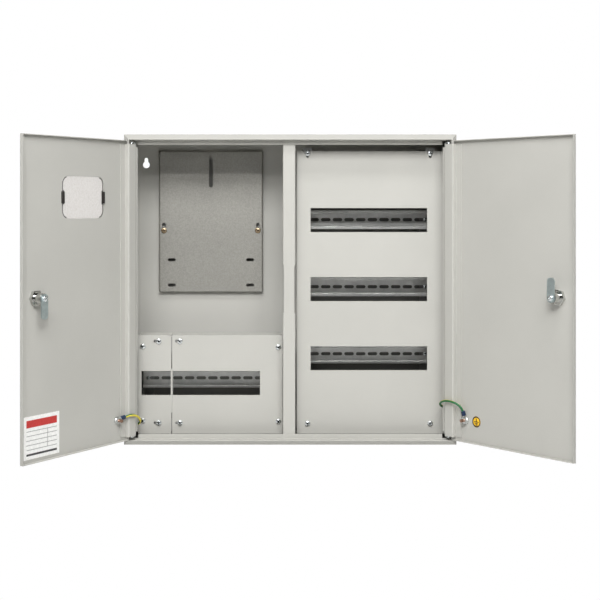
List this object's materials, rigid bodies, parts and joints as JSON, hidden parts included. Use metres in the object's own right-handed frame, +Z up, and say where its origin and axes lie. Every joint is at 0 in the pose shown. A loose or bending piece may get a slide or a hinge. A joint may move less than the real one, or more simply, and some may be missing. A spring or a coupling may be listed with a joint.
{
  "type": "electric meter box",
  "caption": "Wall-mounted sheet-steel electric meter box with two hinged doors, a meter plate behind a window, breaker rows behind slotted covers and cam locks.",
  "frame": {"origin": "centre of the back face, in the middle of the wall keyholes", "axes": "+X to the right seen from the front, +Y into the wall, +Z up"},
  "size_m": [0.9007, 0.4092, 0.56],
  "materials": {
    "powder_coat": "satin powder coat",
    "galvanised": "galvanised",
    "bright_zinc": "bright zinc",
    "yellow_zinc": "yellow zinc",
    "lock_chrome": "satin chrome",
    "clear_pane": "hazy clear",
    "sleeve_blue": "matte",
    "lead_cover": "green and yellow",
    "tinned_lug": "tinned",
    "label_paper": "coated",
    "sign_paper": "coated"
  },
  "bodies": {
    "cabinet": {"enclosure": "powder_coat", "post": "powder_coat", "meter_plate": "galvanised", "meter_plate_bosses": "bright_zinc", "meter_plate_screws": "yellow_zinc", "right_cover": "powder_coat", "left_narrow_cover": "powder_coat", "left_wide_cover": "powder_coat", "right_cover_screws": "bright_zinc", "left_narrow_cover_screws": "bright_zinc", "left_wide_cover_screws": "bright_zinc", "rail_screws": "bright_zinc", "left_rail": "galvanised", "right_upper_rail": "galvanised", "right_middle_rail": "galvanised", "right_lower_rail": "galvanised", "right_inner_upright": "galvanised", "right_outer_upright": "galvanised", "left_outer_upright": "galvanised", "left_inner_upright": "galvanised", "upper_bridge_bracket": "galvanised", "lower_bridge_bracket": "galvanised", "left_upper_hinge_rod": "bright_zinc", "left_lower_hinge_rod": "bright_zinc", "right_upper_hinge_rod": "bright_zinc", "right_lower_hinge_rod": "bright_zinc", "wall_earth_studs": "bright_zinc", "wall_earth_nuts": "bright_zinc", "left_wall_lug": "tinned_lug", "right_wall_lug": "tinned_lug"},
    "left_door": {"left_door": "powder_coat", "window_pane": "clear_pane", "label_sticker": "label_paper", "left_lock_body": "lock_chrome", "left_lock_nut": "bright_zinc", "left_door_earth_stud": "bright_zinc", "left_door_earth_nut": "bright_zinc", "left_door_lug": "tinned_lug", "left_lug_sleeve": "sleeve_blue", "left_earth_lead": "lead_cover"},
    "right_door": {"right_door": "powder_coat", "earth_sign": "sign_paper", "right_lock_body": "lock_chrome", "right_lock_nut": "bright_zinc", "right_door_earth_stud": "bright_zinc", "right_door_earth_nut": "bright_zinc", "right_door_lug": "tinned_lug", "right_lug_sleeve": "sleeve_blue", "right_earth_lead": "lead_cover"},
    "left_lock": {"left_lock_plug": "lock_chrome", "left_lock_cam": "bright_zinc", "left_cam_screw": "bright_zinc"},
    "right_lock": {"right_lock_plug": "lock_chrome", "right_lock_cam": "bright_zinc", "right_cam_screw": "bright_zinc"}
  },
  "joints": [
    {"name": "left_door_hinge", "type": "hinge", "parent": "cabinet", "child": "left_door", "pos_m": [-0.285, -0.1654, 0], "axis": [0, 0, 1], "range_deg": [-9.5, 121.5], "deforming": ["left_earth_lead"]},
    {"name": "right_door_hinge", "type": "hinge", "parent": "cabinet", "child": "right_door", "pos_m": [0.285, -0.1654, 0], "axis": [0, 0, -1], "range_deg": [-2, 129], "deforming": ["right_earth_lead"]},
    {"name": "left_lock_turn", "type": "hinge", "parent": "left_door", "child": "left_lock", "pos_m": [-0.41817, -0.37583, 0], "axis": [-0.8526, 0.5225, 0], "range_deg": [0, 90]},
    {"name": "right_lock_turn", "type": "hinge", "parent": "right_door", "child": "right_lock", "pos_m": [0.4445, -0.35664, 0], "axis": [0.7771, 0.6293, 0], "range_deg": [0, 90]}
  ]
}
